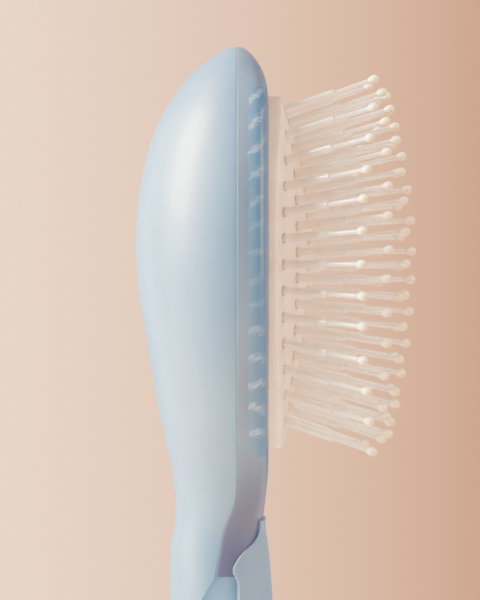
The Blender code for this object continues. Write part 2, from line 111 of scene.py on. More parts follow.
# %% Sections up the brush
SECTIONS = [  # height, back, widest line, front, half width, exponent of the front
    (0.0, -7.2, -0.5, 7.0, 8.2, 2.4),
    (1.2, -8.2, -0.5, 8.0, 9.2, 2.4),
    (3.0, -8.8, -0.5, 8.6, 9.9, 2.4),
    (12.0, -10.0, -0.5, 9.8, 11.3, 2.4),
    (30.0, -11.2, -0.5, 11.0, 12.8, 2.4),
    (60.0, -11.8, -0.5, 11.6, 13.6, 2.4),
    (88.0, -11.3, -0.5, 11.3, 12.9, 2.4),
    (102.0, -11.1, -0.7, 10.9, 12.2, 2.4),
    (110.0, -11.1, -1.2, 10.2, 11.8, 2.4),
    (116.3, -11.0, -0.2, 9.4, 11.5, 2.6),
    (121.3, -10.1, 0.8, 8.8, 11.9, 3.0),
    (126.5, -9.9, 2.9, 9.3, 13.4, 4.0),
    (132.8, -10.7, 3.4, 9.9, 16.2, 5.5),
    (140.0, -12.1, 3.4, 10.0, 19.8, 7.0),
    (148.3, -13.9, 3.4, 10.0, 23.6, 8.0),
    (160.7, -16.1, 3.4, 10.0, 27.6, 8.0),
    (173.0, -18.0, 3.4, 10.0, 29.6, 8.0),
    (182.0, -18.5, 3.4, 10.0, 30.0, 8.0),
    (191.3, -18.0, 3.4, 10.0, 29.3, 8.0),
    (200.7, -16.3, 3.4, 10.0, 27.2, 8.0),
    (208.7, -13.5, 3.4, 10.0, 23.9, 7.0),
    (215.0, -9.7, 3.4, 9.75, 19.6, 6.0),
    (218.6, -6.7, 3.4, 8.95, 16.2, 5.0),
    (221.4, -3.7, 3.4, 7.6, 12.4, 4.0),
    (223.4, -0.9, 3.4, 6.1, 8.3, 3.0),
    (224.6, 1.4, 3.4, 4.7, 4.3, 2.4),
    (225.0, 3.4, 3.4, 3.4, 0.0, 2.2),
]
OVER_THE_TIP = (224.6, 5.4, 3.4, 2.1, -4.3, 2.4)   # the row below the tip, turned over
BACK_POWER = 2.1
SOFTEST = 4.0             # the rounder form that a wall's thickness is measured on
TIP = SECTIONS[-1][0]
LAST = len(SECTIONS) - 1.0
HALVINGS = 30
STRAIGHT_UP = 0.05        # this close to the tip, in places, the form faces straight up


def section(place):
    """The cross-section at a place in the table, where 2.5 is half way between rows 2 and 3."""
    rows = [SECTIONS[0], *SECTIONS, OVER_THE_TIP]
    i = min(int(place), len(SECTIONS) - 2)
    t = place - i
    return [
        0.5 * (2 * b + (c - a) * t + (2 * a - 5 * b + 4 * c - d) * t**2
               + (3 * b - a - 3 * c + d) * t**3)
        for a, b, c, d in zip(*rows[i:i + 4])
    ]


def place_at(z):
    """The place in the table whose height is z, found by halving."""
    low, high = 0.0, LAST
    for _ in range(HALVINGS):
        middle = (low + high) / 2
        low, high = (middle, high) if section(middle)[0] < z else (low, middle)
    return low


def skin(place, turn, proud=0.0, softest=math.inf):
    """A point of the outer form. The turn is 0 at the front and a quarter turn on the +Y side."""
    z, back, middle, front, half_width, front_power = section(place)
    across, along = abs(math.sin(turn)), math.cos(turn)
    reach, power = (front - middle, front_power) if along > 0 else (middle - back, BACK_POWER)
    power = min(power, softest)
    return Vector((
        middle + math.copysign(abs(along) ** (2 / power), along) * (reach + proud),
        math.copysign(across ** (2 / power), math.sin(turn)) * (half_width + proud),
        z,
    ))


def facing(place, turn):
    """Which way the form faces there."""
    if place > LAST - STRAIGHT_UP:
        return Vector((0, 0, 1))
    step = 1e-3
    below = max(place - step, 0.0)
    up = skin(place + step, turn, 0.0, SOFTEST) - skin(below, turn, 0.0, SOFTEST)
    along = skin(place, turn + step, 0.0, SOFTEST) - skin(place, turn - step, 0.0, SOFTEST)
    return along.cross(up).normalized()


def turn_at(place, x, proud=0.0):
    """The turn on the +Y side where the section crosses this x."""
    _, back, middle, front, _, front_power = section(place)
    reach, power = (front - middle, front_power) if x > middle else (middle - back, BACK_POWER)
    share = min(abs(x - middle) / max(reach + proud, 1e-6), 1.0)
    turn = math.acos(share ** (power / 2))
    return turn if x > middle else math.pi - turn


head_width, neck_width = (2 * section(place_at(z))[4] for z in (182, 116))
print("head", round(head_width, 1), "mm wide; neck", round(neck_width, 1), "mm wide")

# %% [markdown]
# ## Where the casing parts
#
# The casing is moulded in a back shell, a front frame round the cushion, a front panel on the
# handle and two inlaid grips. They part along lines seen from the side, so each line is a list of
# heights and how far forward it lies. A mould maker rounds the corners of such a line, and
# averaging the line over a short stretch does the same.

# %% Parting lines
SEAM = 0.03               # the mouldings all but touch
SHELL_FOOT = 3.0
FRAME_FOOT = 110.9
PANEL_TOP = 122.6
CORNER = 0.8              # half the stretch that a parting line is averaged over
CORNER_STEPS = 3          # readings on either side of the middle of that stretch
BACK_EDGE = [(12.0, -0.5), (16.0, -5.0), (21.0, -7.4), (28.0, -8.0), (92.0, -8.0), (98.0, -7.4),
             (102.0, -6.3), (105.9, -4.1), (109.4, -2.1), (110.4, -1.0)]
PANEL_EDGE = [(12.0, -0.5), (14.0, 2.0), (16.0, 3.2), (18.5, 3.8), (109.6, 3.8), (110.6, 3.5),
              (111.4, 2.4), (112.5, 2.4), (115.3, 4.0), (119.0, 8.0), (121.4, 8.6), (122.6, 8.7)]


def ramp(line, z):
    """Straight-line reading of a list of (height, value)."""
    for (z0, v0), (z1, v1) in zip(line, line[1:]):
        if z <= z1:
            return v0 + (v1 - v0) * max(z - z0, 0.0) / (z1 - z0)
    return line[-1][1]


def rounded(line, z):
    """The same list read with its corners rounded."""
    steps = range(-CORNER_STEPS, CORNER_STEPS + 1)
    return sum(ramp(line, z + CORNER * k / CORNER_STEPS) for k in steps) / len(steps)


def crease(z):
    return section(place_at(z))[2]


def back_edge(z):
    line = crease(z) if z >= BACK_EDGE[-1][0] else rounded(BACK_EDGE, z)
    return line - SEAM / 2


def frame_edge(z):
    return crease(z) + SEAM / 2


def panel_edge(z):
    return rounded(PANEL_EDGE, z) + SEAM / 2


# %% [markdown]
# ## Walls
#
# Every moulding of the casing is a wall of nearly even thickness. Solidify makes such a wall from
# one sheet, but at the square front of the head the inner side would fold over itself. So each wall
# is two grids, one laid on the form and one below it, whose rims are bridged. A moulded edge is
# never sharp, and it is the edge that catches the light. The bevel operator can't follow the
# crowded rows at the tip of the head, so the last columns of the outer grid are laid round the edge
# instead.

# %% Helpers for walls
WALL = 1.8
CROWN = 215.0             # above this the rows crowd together, over the tip of the head
CROWN_ROWS = 44
TIP_CAP = 0.3             # the last of the table's places is one fan of faces to the very tip
ROW_STEP = 1.1
ROUNDING = [(0.0, 0.4), (0.2, 0.1), (0.6, 0.0)]   # in from the parting line, and below the form
SHARP = math.radians(38)  # a steeper edge than this is shaded crisp
MERGE, FINE_MERGE = 0.002, 0.001   # corners this close are one, in a grid and in a cut or a spin


def stations(low, high):
    """Places up the form at an even step, and then closer ones over the crown."""
    flat_top = min(high, CROWN)
    count = round((flat_top - low) / ROW_STEP)
    places = [place_at(low + (flat_top - low) * k / count) for k in range(count + 1)]
    if high > CROWN:
        step = (LAST - TIP_CAP - places[-1]) / CROWN_ROWS
        places += [places[-1] + step * k for k in range(1, CROWN_ROWS + 1)] + [LAST]
    return places


def lay_grid(bm, columns, rows, point):
    """A grid of quads, each corner moved to point(column, row), in mm, with its doubles merged."""
    grid = bmesh.ops.create_grid(bm, x_segments=columns, y_segments=rows, size=0.5)
    verts = grid["verts"]
    for vert in verts:
        column, row = round((vert.co.x + 0.5) * columns), round((vert.co.y + 0.5) * rows)
        vert.co = point(column, row) * MM
    bmesh.ops.remove_doubles(bm, verts=verts, dist=MERGE * MM)


def object_of(bm, name):
    """The bmesh as an object with smooth faces and crisp edges, in the scene."""
    mesh = bpy.data.meshes.new(name)
    bm.to_mesh(mesh)
    bm.free()
    obj = bpy.data.objects.new(name, mesh)
    bpy.context.scene.collection.objects.link(obj)
    mesh.shade_smooth()
    mesh.set_sharp_from_angle(angle=SHARP)
    return obj


def wall(name, places, columns, edge, front, proud=lambda z: 0.0, softness=1.0, lapped=False):
    """A moulding on the form, over its front or round its back, out to the x that edge gives.

    The softness scales the rounding of its edge. The wall stays on its own side of the parting line
    unless its rim is lapped under the next piece.
    """
    ahead = 1 if front else -1
    rounding = [(inset * softness, depth * softness) for inset, depth in ROUNDING]
    rows = []
    for place in places:
        z = section(place)[0]
        rim = [turn_at(place, edge(z) + ahead * d, proud(z)) for d, _ in rounding]
        if front:
            rim = [-turn for turn in rim] + rim[::-1]
        else:
            rim += [2 * math.pi - turn for turn in reversed(rim)]
        rows.append((place, edge(z), proud(z), rim))
    last = len(ROUNDING) - 1

    def outer(column, row):
        place, limit, raised, rim = rows[row]
        k = min(column, columns - column)
        if k > last:
            t = (column - last) / (columns - 2 * last)
            turn = rim[last] + (rim[last + 1] - rim[last]) * t
            point, inset = skin(place, turn, raised), rounding[last][0]
            point.x = ahead * max(ahead * point.x, ahead * limit + inset)
            return point, turn
        inset, depth = rounding[k]
        turn = rim[k] if column < columns / 2 else rim[-1 - k]
        point = skin(place, turn, raised) - facing(place, turn) * depth
        point.x = limit + ahead * inset
        return point, turn

    def inner(column, row):
        place, limit, _, _ = rows[row]
        point, turn = outer(column, row)
        point = point - facing(place, turn) * WALL
        if not lapped:
            point.x = ahead * max(ahead * point.x, ahead * limit)
        return point

    bm = bmesh.new()
    lay_grid(bm, columns, len(places) - 1, lambda c, r: outer(c, r)[0])
    lay_grid(bm, columns, len(places) - 1, inner)
    bmesh.ops.bridge_loops(bm, edges=[e for e in bm.edges if e.is_boundary])
    bmesh.ops.recalc_face_normals(bm, faces=bm.faces)
    print(name, len(bm.faces), "faces")
    return object_of(bm, name)


def closed(obj):
    """True if every edge of the piece has exactly two faces."""
    bm = bmesh.new()
    bm.from_mesh(obj.data)
    whole = all(len(e.link_faces) == 2 for e in bm.edges)
    bm.free()
    return whole


# %% [markdown]
# ## Colours and node trees
#
# Colours are written as screen hex values, which one function turns into the linear light that a
# renderer adds up. A second small function adds a node, sets it and wires it, so that a material
# below reads as a list of what happens to the surface. Most patterns start as soft blotches of a
# known size, so those have a function too.

# %% Helpers for materials
def linear(hex_value):
    """A hex colour as linear red, green, blue and alpha."""
    parts = [int(hex_value[i:i + 2], 16) / 255 for i in (1, 3, 5)]
    return (*[c / 12.92 if c <= 0.04045 else ((c + 0.055) / 1.055) ** 2.4 for c in parts], 1.0)


def add(tree, kind, inputs=None, out=0, **settings):
    """Adds a node with its settings and inputs, each a value or a socket, and returns an output."""
    node = tree.nodes.new("ShaderNode" + kind)
    for name, value in settings.items():
        setattr(node, name, value)
    for name, value in (inputs or {}).items():
        if isinstance(value, bpy.types.NodeSocket):
            tree.links.new(value, node.inputs[name])
        else:
            node.inputs[name].default_value = value
    return node.outputs[out]


def new_material(name, fixed):
    """A material with its shader's fixed values, its tree, and the piece's own coordinates."""
    material = bpy.data.materials.new(name)
    material.use_nodes = True
    tree = material.node_tree
    shader = tree.nodes["Principled BSDF"]
    for socket, value in fixed.items():
        shader.inputs[socket].default_value = value
    return material, tree, shader, add(tree, "TexCoord", out="Object")


def blotches(tree, where, size, detail=2.0, stretch=(1, 1, 1), turn=(0, 0, 0)):
    """Soft blotches about size mm across, turned and then stretched along X, Y and Z."""
    turned = add(tree, "Mapping", {"Vector": where, "Rotation": turn})
    scale = [1 / (size * MM * s) for s in stretch]
    laid = add(tree, "Mapping", {"Vector": turned, "Scale": scale})
    return add(tree, "TexNoise", {"Vector": laid, "Scale": 1.0, "Detail": detail})


def add_bump(tree, shader, *layers):
    """Bump from (height, millimetres) layers, one over the other."""
    normal = None
    for height, depth in layers:
        inputs = {"Height": height, "Distance": depth * MM, "Strength": 1.0}
        normal = add(tree, "Bump", inputs if normal is None else {**inputs, "Normal": normal})
    tree.links.new(normal, shader.inputs["Normal"])


# %% [markdown]
# ## Pearly blue moulding
#
# The shells are ABS, injection moulded with a little pearl pigment: slightly milky, with cloudy
# streaks where the melt flowed up the mould, and a skin that is not quite flat. The pearl spreads
# the highlight wide. ABS has an index of refraction of 1.54. Some light goes a millimetre into it,
# which softens its shadows.

# %% Blue ABS
ABS_IOR = 1.54
PEARLY_ABS = {"Roughness": 0.47, "IOR": ABS_IOR, "Specular IOR Level": 0.85,
              "Subsurface Weight": 0.2, "Subsurface Radius": (0.6, 1.0, 1.3),
              "Subsurface Scale": 1.0 * MM, "Coat Weight": 0.15, "Coat Roughness": 0.16,
              "Sheen Weight": 0.15, "Sheen Roughness": 0.3, "Sheen Tint": linear("#C9B8DC")}
FLOW = (1.0, 1.0, 3.5)    # flow streaks are this much longer up the brush than across it
CLOUD_LOW, CLOUD_HIGH = 0.35, 0.68   # the part of the noise between the pale and the deep tone


def add_moulded_skin(tree, shader, where):
    """The faint orange peel and the long sink marks of a moulded surface."""
    peel = blotches(tree, where, 0.8)
    sink = blotches(tree, where, 9.0, 1.0, FLOW)
    add_bump(tree, shader, (sink, 0.12), (peel, 0.004))


def pearly_abs(name, pale, deep, roughness=PEARLY_ABS["Roughness"]):
    material, tree, shader, where = new_material(name, dict(PEARLY_ABS, Roughness=roughness))
    clouds = blotches(tree, where, 11.0, 3.0, FLOW)
    shade = add(tree, "MapRange", {"Value": clouds, "From Min": CLOUD_LOW, "From Max": CLOUD_HIGH})
    colours = {0: shade, 6: linear(pale), 7: linear(deep)}
    tree.links.new(add(tree, "Mix", colours, 2, data_type="RGBA"), shader.inputs["Base Color"])
    add_moulded_skin(tree, shader, where)
    return material


SHELL_BLUE = pearly_abs("pearly_blue_abs", "#507CA0", "#3E6E96")
GRIP_BLUE = pearly_abs("inlaid_blue_abs", "#5A95C2", "#4586B5", 0.5)

# %% [markdown]
# ## Back shell
#
# The largest moulding: the humped back of the head and, in one piece with it, the back of the
# handle. It is open towards the front, and its rim is the line along the side of the head.

# %% Back shell
BACK_COLUMNS = 72


def make_back_shell():
    shell = wall("back_shell_moulding", stations(SHELL_FOOT, TIP), BACK_COLUMNS, back_edge,
                 front=False, softness=0.1)
    shell.data.materials.append(SHELL_BLUE)
    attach(shell, "casing")
    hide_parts("back_shell")
    print("back shell closed:", closed(shell))


make_back_shell()

# %% [markdown]
# ## Booleans
#
# Openings are cut with the Boolean modifier. Its result is read back as a mesh, so that the edges
# that the cut made can be found by their angle and rounded like any moulded edge.

# %% Helper for cuts
FRESH_EDGE = math.radians(50)   # a cut leaves edges steeper than this, which are rounded


def cut(obj, cutter, edge_width):
    """Takes the cutter out of the object and rounds the fresh edges where it did."""
    modifier = obj.modifiers.new("cut", "BOOLEAN")
    modifier.operation, modifier.solver, modifier.object = "DIFFERENCE", "EXACT", cutter
    before = {tuple(round(c, 7) for c in v.co) for v in obj.data.vertices}
    evaluated = obj.evaluated_get(bpy.context.evaluated_depsgraph_get())
    bm = bmesh.new()
    bm.from_mesh(evaluated.to_mesh())
    obj.modifiers.remove(modifier)
    bpy.data.objects.remove(cutter)
    bmesh.ops.remove_doubles(bm, verts=bm.verts, dist=FINE_MERGE * MM)
    bmesh.ops.dissolve_degenerate(bm, edges=bm.edges, dist=FINE_MERGE * MM)
    if edge_width:
        fresh = {v for v in bm.verts if tuple(round(c, 7) for c in v.co) not in before}
        rim = [e for e in bm.edges if e.verts[0] in fresh and e.verts[1] in fresh
               and len(e.link_faces) == 2 and e.calc_face_angle() > FRESH_EDGE]
        bmesh.ops.bevel(bm, geom=rim, offset=edge_width * MM, offset_type="OFFSET", segments=2,
                        profile=0.5, affect="EDGES", clamp_overlap=True, material=-1)
    bm.to_mesh(obj.data)
    bm.free()
    obj.data.shade_smooth()
    obj.data.set_sharp_from_angle(angle=SHARP)


# %% [markdown]
# ## The pad's outline and the dome
#
# The cushion fills an oval opening, again a superellipse. Its dome is a formula too: a hyperbola
# across the brush, which is steep at the sides and round on top, and a parabola along it.

# %% Pad outline and dome
PAD_CENTRE, PAD_HALF_LENGTH, PAD_HALF_WIDTH, PAD_POWER = 176.0, 38.0, 21.8, 3.4
RIM_X, DOME_HEIGHT = 11.8, 8.1
DOME_PEAK, DOME_UP, DOME_DOWN = 180.0, 34.0, 42.0
DOME_SHARPNESS, DOME_END_DROP = 0.45, 0.83


def pad_point(turn, reach=0.0, share=1.0):
    """A point (y, z) of the pad's outline, grown by reach and then scaled by share."""
    c, s = math.cos(turn), math.sin(turn)
    scale = share * (abs(c) ** PAD_POWER + abs(s) ** PAD_POWER) ** (-1 / PAD_POWER)
    return c * scale * (PAD_HALF_WIDTH + reach), PAD_CENTRE + s * scale * (PAD_HALF_LENGTH + reach)


def dome_x(y, z):
    k = DOME_SHARPNESS
    across = (math.sqrt(1 + (y / PAD_HALF_WIDTH / k) ** 2) - 1) / (math.sqrt(1 + k**-2) - 1)
    reach = DOME_UP if z > DOME_PEAK else DOME_DOWN
    along = DOME_END_DROP * ((z - DOME_PEAK) / reach) ** 2
    return RIM_X + DOME_HEIGHT * (1 - min(across, 1.0)) * (1 - min(along, 1.0))


def prism(name, outline, axis, low, high):
    """A cutter: a flat outline in mm, run along an axis from low to high."""
    bm = bmesh.new()
    verts = [bm.verts.new(Vector(p) * MM) for p in outline]
    face = bm.faces.new(verts)
    moved = bmesh.ops.extrude_face_region(bm, geom=[face])["geom"]
    for vert in verts:
        vert.co[axis] = low * MM
    for item in moved:
        if isinstance(item, bmesh.types.BMVert):
            item.co[axis] = high * MM
    bmesh.ops.recalc_face_normals(bm, faces=bm.faces)
    return object_of(bm, name)


print("dome stands", round(dome_x(0, DOME_PEAK) - section(place_at(DOME_PEAK))[3], 1), "mm proud")

# %% [markdown]
# ## See-through blue frame
#
# The front frame is moulded from the same family of plastic with hardly any pearl, so it is tinted
# and looks half see-through. Along its side wall the shade of the hollow behind it is painted as a
# dark teal strip, darkest towards the front edge, and crossed by pale streaks of painted light
# where the wall touches the ribs inside, about one for each row of pins. The strip is painted on
# the side wall by the piece's own coordinates, with noise to fray its edges. Below it the frame
# darkens where it narrows to two legs beside the handle's front panel.

# %% Frame plastic
STRIP_BACK, STRIP_FRONT = 5.9, 10.3
TAIL_FOOT, TAIL_BACK = 118.0, 9.4   # below the strip a thin line of the painted shade runs on down the front edge
TINTED_ABS = dict(PEARLY_ABS, **{"Subsurface Weight": 0.05, "Specular IOR Level": 0.4,
                                 "Sheen Weight": 0.05})
STRIP_LOW, STRIP_HIGH = 138.2, 215.0
STRIP_FRAY = 0.9          # how far the strip's back edge strays
RIB_PITCH = 5.35
RIB_LEAN_LOW, RIB_LEAN_HIGH = (145.0, 0.1), (210.0, -1.0)   # height, and rise per mm forwards
RIB_WANDER, RIB_FEATHER = 1.5, 1.8   # how far a rib strays, and how far its edges fray
RIB_EDGE = (1.7, 2.5)     # where a rib starts and is full, from the middle of the gap
RIB_FADE = (7.6, 9.8)     # the ribs fade out towards the front between these
PLAIN_MIDDLE = 178.0      # the ribs hardly show half way up the head
PLAIN_REACH, FULL_REACH = 8.0, 24.0   # that far from there they are faint, and at full strength
LEG_TOP, LEG_FULL = 140.0, 126.0     # the frame darkens to its legs between these


def painted_hollow_shade_and_rib_light(tree, where):
    """Two masks on the side wall, of painted hollow shade and painted rib light, and the x and z
    there.
    """
    axes = {name: add(tree, "SeparateXYZ", {0: where}, name) for name in "XZ"}
    x, z = axes["X"], axes["Z"]
    fray = add(tree, "MapRange", {"Value": blotches(tree, where, 1.6, 3.0),
                                  "To Min": -STRIP_FRAY * MM, "To Max": STRIP_FRAY * MM})
    frayed_x = add(tree, "Math", {0: x, 1: fray}, operation="ADD")
    back = add(tree, "MapRange", {"Value": z, "From Min": (STRIP_LOW - 3.0) * MM,
                                  "From Max": (STRIP_LOW + 1.0) * MM, "To Min": TAIL_BACK * MM,
                                  "To Max": STRIP_BACK * MM}, interpolation_type="SMOOTHSTEP")
    hollow_shade_mask = add(tree, "Math", {0: frayed_x, 1: back}, operation="SUBTRACT")
    hollow_shade_mask = add(tree, "MapRange", {"Value": hollow_shade_mask, "From Min": -0.15 * MM, "From Max": 0.25 * MM})
    foot = add(tree, "MapRange", {"Value": z, "From Min": TAIL_FOOT * MM,
                                  "From Max": (TAIL_FOOT + 8.0) * MM})
    head = add(tree, "MapRange", {"Value": z, "From Min": (STRIP_HIGH + 0.1) * MM,
                                  "From Max": (STRIP_HIGH - 0.1) * MM})
    # Painted light: pale streaks across the strip, one for each rib, leaning, wandering and frayed.
    (lean_from, low_lean), (lean_to, high_lean) = RIB_LEAN_LOW, RIB_LEAN_HIGH
    slope = add(tree, "MapRange", {"Value": z, "From Min": lean_from * MM, "From Max": lean_to * MM,
                                   "To Min": low_lean, "To Max": high_lean})
    across = add(tree, "Math", {0: x, 1: STRIP_BACK * MM}, operation="SUBTRACT")
    height = add(tree, "Math", {0: across, 1: slope, 2: z}, operation="MULTIPLY_ADD")
    wander = add(tree, "MapRange", {"Value": blotches(tree, where, 5.0, 1.0),
                                    "To Min": -RIB_WANDER * MM, "To Max": RIB_WANDER * MM})
    height = add(tree, "Math", {0: height, 1: wander}, operation="ADD")
    beat = add(tree, "Math", {0: height, 1: RIB_PITCH * MM / 2}, operation="PINGPONG")
    feather = blotches(tree, where, 0.45, 3.0, (5, 1, 1), (0, math.radians(30), 0))
    feather = add(tree, "MapRange", {"Value": feather, "To Min": -RIB_FEATHER * MM,
                                     "To Max": RIB_FEATHER * MM})
    beat = add(tree, "Math", {0: beat, 1: feather}, operation="ADD")
    rib_light = add(tree, "MapRange", {"Value": beat, "From Min": RIB_EDGE[0] * MM,
                                 "From Max": RIB_EDGE[1] * MM})
    off_middle = add(tree, "Math", {0: z, 1: PLAIN_MIDDLE * MM}, operation="SUBTRACT")
    off_middle = add(tree, "Math", {0: off_middle}, operation="ABSOLUTE")
    strength = add(tree, "MapRange", {"Value": off_middle, "From Min": PLAIN_REACH * MM,
                                      "From Max": FULL_REACH * MM, "To Min": 0.25, "To Max": 0.8})
    fade = add(tree, "MapRange", {"Value": x, "From Min": RIB_FADE[0] * MM,
                                  "From Max": RIB_FADE[1] * MM, "To Min": 1.0, "To Max": 0.0})
    for factor in (strength, fade):
        rib_light = add(tree, "Math", {0: rib_light, 1: factor}, operation="MULTIPLY")
    for factor in (foot, head):
        hollow_shade_mask = add(tree, "Math", {0: hollow_shade_mask, 1: factor}, operation="MULTIPLY")
    return hollow_shade_mask, rib_light, x, z


def see_through_abs(with_painted_hollow_shade):
    name = "see_through_blue_abs_painted_hollow_shade" if with_painted_hollow_shade else "see_through_lilac_blue_abs"
    material, tree, shader, where = new_material(name, TINTED_ABS)
    clouds = blotches(tree, where, 8.0, 3.0, FLOW)
    shade = add(tree, "MapRange", {"Value": clouds, "From Min": CLOUD_LOW, "From Max": CLOUD_HIGH})
    pale, deep = ("#4F647F", "#435772") if with_painted_hollow_shade else ("#5C7693", "#506A88")
    lilac = {0: shade, 6: linear(pale), 7: linear(deep)}
    body = add(tree, "Mix", lilac, 2, data_type="RGBA")
    add_moulded_skin(tree, shader, where)
    if not with_painted_hollow_shade:
        tree.links.new(body, shader.inputs["Base Color"])
        return material
    # Painted shade: a dark teal strip on the side wall stands for the hollow behind it, crossed by
    # pale streaks of painted light along the ribs.
    strip, rib_light, x, z = painted_hollow_shade_and_rib_light(tree, where)
    leg = add(tree, "MapRange", {"Value": z, "From Min": LEG_TOP * MM, "From Max": LEG_FULL * MM})
    body = add(tree, "Mix", {0: leg, 6: body, 7: linear("#353C5E")}, 2, data_type="RGBA")
    # The painted shade deepens towards the front edge.
    depth = add(tree, "MapRange", {"Value": x, "From Min": STRIP_BACK * MM,
                                   "From Max": STRIP_FRONT * MM})
    hollow_shade = {0: depth, 6: linear("#40698C"), 7: linear("#15456E")}
    hollow_shade = add(tree, "Mix", hollow_shade, 2, data_type="RGBA")
    hollow_shade = add(tree, "Mix", {0: rib_light, 6: hollow_shade, 7: linear("#7C90A8")}, 2, data_type="RGBA")
    side = add(tree, "SeparateXYZ", {0: add(tree, "TexCoord", out="Normal")}, "Y")
    side = add(tree, "Math", {0: side}, operation="ABSOLUTE")
    side = add(tree, "MapRange", {"Value": side, "From Min": 0.0, "From Max": 0.07})
    strip = add(tree, "Math", {0: strip, 1: side}, operation="MULTIPLY")
    colours = {0: strip, 6: body, 7: hollow_shade}
    tree.links.new(add(tree, "Mix", colours, 2, data_type="RGBA"), shader.inputs["Base Color"])
    return material


FRAME_BLUE, PANEL_BLUE = see_through_abs(True), see_through_abs(False)

# %% [markdown]
# ## Front frame
#
# The front half of the head is one moulding with two openings: the oval for the cushion, and a
# tongue-shaped notch at the neck that the handle's front panel runs into.

# %% Front frame
FRAME_COLUMNS = 96
FRAME_PROUD = 0.28        # its rounded rim stands just out of the shell's and draws the bright line
OUTLINE_POINTS = 120
LAP = 0.25                # how far the frame reaches under the handle's front panel
OVAL_EDGE, TONGUE_EDGE = 0.35, 0.2   # how round the openings' edges are
TONGUE_STEPS = 30
CLEAR_OF_HEAD, CLEAR_OF_FRONT = 30.0, 20.0   # the cutters end well outside the frame
CUT_BACK = -4.0           # and inside its hollow


def make_front_frame():
    body = wall("front_frame_moulding", stations(FRAME_FOOT, TIP), FRAME_COLUMNS, frame_edge,
                front=True, proud=lambda z: FRAME_PROUD, softness=0.7)
    turns = [2 * math.pi * k / OUTLINE_POINTS for k in range(OUTLINE_POINTS)]
    oval = [(0.0, *pad_point(turn, SEAM)) for turn in turns]
    cut(body, prism("oval", oval, 0, CUT_BACK, CLEAR_OF_FRONT), OVAL_EDGE)
    foot, top = FRAME_FOOT - 2, PANEL_TOP - LAP
    heights = [foot + (top - foot) * k / TONGUE_STEPS for k in range(TONGUE_STEPS + 1)]
    tongue = [(panel_edge(z) + LAP, 0.0, z) for z in heights]
    tongue += [(CLEAR_OF_FRONT, 0.0, top), (CLEAR_OF_FRONT, 0.0, foot)]
    cut(body, prism("tongue", tongue, 1, -CLEAR_OF_HEAD, CLEAR_OF_HEAD), TONGUE_EDGE)
    body.data.materials.append(FRAME_BLUE)
    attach(body, "casing")
    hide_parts("front_frame")
    print("front frame", len(body.data.polygons), "faces, closed:", closed(body))


make_front_frame()

# %% [markdown]
# ## Front panel of the handle
#
# The panel rises slightly towards its tip, so the tongue stands proud of the neck by the lip that
# the thumb finds.

# %% Front panel
PANEL_LIP, LIP_FOOT, LIP_RISE = 0.9, 92.0, 24.0
PANEL_COLUMNS = 48


def make_front_panel():
    def lip(z):
        return PANEL_LIP * min(1.0, max(0.0, (z - LIP_FOOT) / LIP_RISE))

    panel = wall("handle_front_moulding", stations(SHELL_FOOT, PANEL_TOP), PANEL_COLUMNS,
                 panel_edge, front=True, proud=lip, lapped=True)
    panel.data.materials.append(PANEL_BLUE)
    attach(panel, "casing")
    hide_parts("handle_front_panel")
    print("front panel closed:", closed(panel))


make_front_panel()

# %% [markdown]
# ## Side grips
#
# Each grip is a thin inlay, set back from the shells so that their cut edges frame it. Its own
# edges are tucked under theirs.

# %% Side grips
GRIP_TOP, GRIP_FOOT = 111.3, 13.0
GRIP_RECESS, GRIP_TUCK, GRIP_WALL = 1.5, 0.3, 1.4
GRIP_COLUMNS = 16
NARROWEST = 0.02          # turn that is left of the grip where its two edges would meet


def make_side_grip(name, side, node):
    rows = []
    for place in stations(GRIP_FOOT, GRIP_TOP):
        z = section(place)[0]
        start = turn_at(place, panel_edge(z) + GRIP_TUCK, -GRIP_RECESS)
        end = turn_at(place, back_edge(z) - GRIP_TUCK, -GRIP_RECESS)
        start = min(start, end - NARROWEST)
        rows.append((place, start, (end - start) / GRIP_COLUMNS))

    def face(depth):
        def point(column, row):
            place, start, step = rows[row]
            turn = start + step * column
            found = skin(place, turn, -GRIP_RECESS)
            sunk = found - facing(place, turn) * depth
            edge = column in (0, GRIP_COLUMNS)
            return Vector((found.x if edge else sunk.x, side * sunk.y, sunk.z))
        return point

    bm = bmesh.new()
    for depth in (0.0, GRIP_WALL):
        lay_grid(bm, GRIP_COLUMNS, len(rows) - 1, face(depth))
    bmesh.ops.bridge_loops(bm, edges=[e for e in bm.edges if e.is_boundary])
    bmesh.ops.recalc_face_normals(bm, faces=bm.faces)
    grip = object_of(bm, name)
    grip.data.materials.append(GRIP_BLUE)
    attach(grip, "casing")
    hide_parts(node)
    print(name, "closed:", closed(grip))


make_side_grip("side_grip_inlay_left", 1, "side_grip_left")
make_side_grip("side_grip_inlay_right", -1, "side_grip_right")

# %% [markdown]
# ## End cap
#
# A plug closes the butt of the handle. A turned plug would be round, and this one follows the oval
# of the handle, so its rows are the form's own sections, drawn in by a little at each step.

# %% End cap
CAP_COLUMNS = 72
CAP_STEPS = [  # height and how far inside the form, from the foot to the top of the spigot
    (0.0, math.inf), (0.0, 4.0), (0.0, 0.7), (0.12, 0.3), (0.4, 0.05), (1.2, 0.0), (2.5, 0.0),
    (2.7, 0.2), (2.7, 2.1), (2.9, 2.1), (9.0, 2.1), (9.0, math.inf),
]


def make_end_cap():
    def point(column, row):
        z, inset = CAP_STEPS[row]
        place = place_at(z)
        if inset == math.inf:
            return Vector((section(place)[2], 0.0, z))
        return skin(place, 2 * math.pi * column / CAP_COLUMNS, -inset)

    bm = bmesh.new()
    lay_grid(bm, CAP_COLUMNS, len(CAP_STEPS) - 1, point)
    bmesh.ops.recalc_face_normals(bm, faces=bm.faces)
    cap = object_of(bm, "handle_end_plug")
    cap.data.materials.append(GRIP_BLUE)
    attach(cap, "casing")
    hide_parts("handle_end_cap")
    print("end cap closed:", closed(cap))


make_end_cap()

# %% [markdown]
# ## Where the pins stand
#
# The pins stand in seven columns that bow with the outline. Every other column is half a pitch off.
# They fan out: the further from the middle, the more a pin leans. Each column is cut into three
# strips, which are the moving bodies of the frame.

